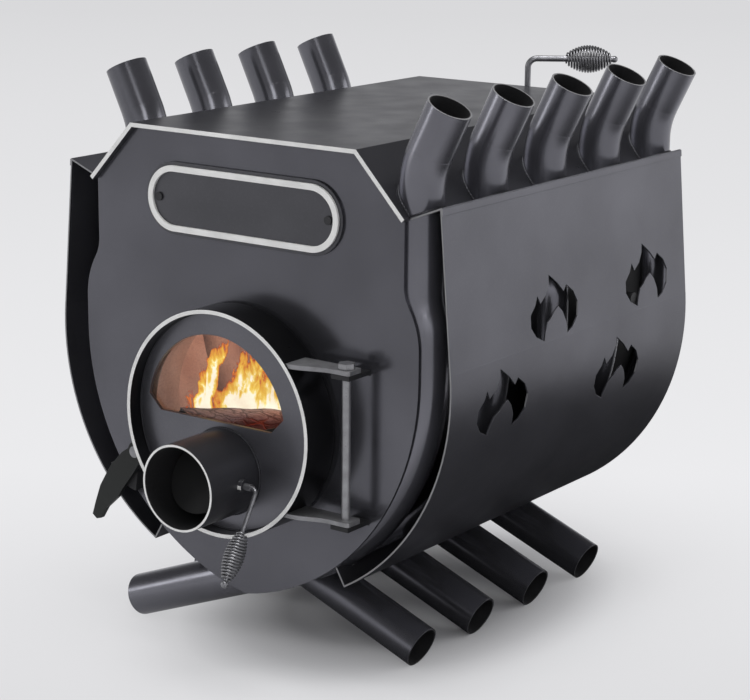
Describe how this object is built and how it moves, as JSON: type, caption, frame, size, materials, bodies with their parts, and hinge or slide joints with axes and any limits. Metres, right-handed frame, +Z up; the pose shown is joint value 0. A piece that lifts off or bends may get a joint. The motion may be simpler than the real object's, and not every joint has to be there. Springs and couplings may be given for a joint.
{
  "type": "convection wood stove",
  "caption": "Convection wood stove: a barrel firebox walled by bent air tubes, flame-cut sheet casings, a round glazed door with air pipe and latch, and a flue with damper.",
  "frame": {"origin": "on the floor under the middle of the whole stove, handles counted", "axes": "+X to the right as seen from the door, +Y from the door to the flue, +Z up"},
  "size_m": [0.566, 0.7948, 0.6769],
  "materials": {
    "satin_paint": "satin heat-resistant paint",
    "dark_paint": "matte heat-resistant paint",
    "bright_steel": "ground bare edge",
    "dark_steel": "oiled",
    "plain_steel": "plain",
    "spring_steel": "drawn spring wire",
    "gasket_rope": "braided glass rope",
    "glass_tape": "woven glass tape",
    "fire_glass": "clear ceramic glass, lightly smoked"
  },
  "bodies": {
    "stove": {"cooking_plate": "satin_paint", "chamfer_left": "satin_paint", "chamfer_right": "satin_paint", "front_plate": "satin_paint", "rear_plate": "dark_paint", "tube_right_1": "satin_paint", "tube_right_2": "satin_paint", "tube_right_3": "satin_paint", "tube_right_4": "satin_paint", "tube_right_5": "satin_paint", "tube_left_1": "satin_paint", "tube_left_2": "satin_paint", "tube_left_3": "satin_paint", "tube_left_4": "satin_paint", "wall_strips_right": "dark_paint", "wall_strips_left": "dark_paint", "casing_left": "satin_paint", "casing_right": "satin_paint", "casing_spacers": "dark_paint", "baffle_plate": "dark_paint", "baffle_rails": "dark_paint", "ash_sill": "dark_paint", "nameplate": "dark_paint", "nameplate_rim": "bright_steel", "nameplate_screws": "dark_steel", "door_collar": "dark_paint", "hinge_lugs": "dark_steel", "hinge_pin": "plain_steel", "latch_keeper": "dark_paint", "flue_outlet": "dark_paint"},
    "door": {"door_ring": "satin_paint", "door_plate": "dark_paint", "gasket_channel": "dark_paint", "door_gasket": "gasket_rope", "door_glass": "fire_glass", "glass_tape": "glass_tape", "glass_clips": "plain_steel", "glass_screws": "plain_steel", "air_pipe": "satin_paint", "air_deflector": "dark_paint", "hinge_arm_upper": "dark_steel", "hinge_arm_lower": "dark_steel", "latch_bracket": "dark_paint", "latch_pivot": "plain_steel"},
    "throttle": {"throttle_disc": "dark_paint", "throttle_rod": "plain_steel", "throttle_grip": "spring_steel"},
    "latch": {"latch_handle": "dark_paint"},
    "damper": {"damper_disc": "dark_paint", "damper_rod": "dark_steel", "damper_grip": "spring_steel"}
  },
  "joints": [
    {"name": "door_hinge", "type": "hinge", "parent": "stove", "child": "door", "pos_m": [0.166, -0.29651, 0.292], "axis": [0, 0, 1], "range_deg": [0, 115]},
    {"name": "latch_turn", "type": "hinge", "parent": "door", "child": "latch", "pos_m": [-0.141, -0.29651, 0.23], "axis": [0, 1, 0], "range_deg": [0, 54]},
    {"name": "throttle_turn", "type": "hinge", "parent": "door", "child": "throttle", "pos_m": [0, -0.33571, 0.2334], "axis": [1, 0, 0], "range_deg": [-59, 31]},
    {"name": "damper_turn", "type": "hinge", "parent": "stove", "child": "damper", "pos_m": [0, 0.32749, 0.501], "axis": [0, 0, 1], "range_deg": [-35, 55]}
  ]
}
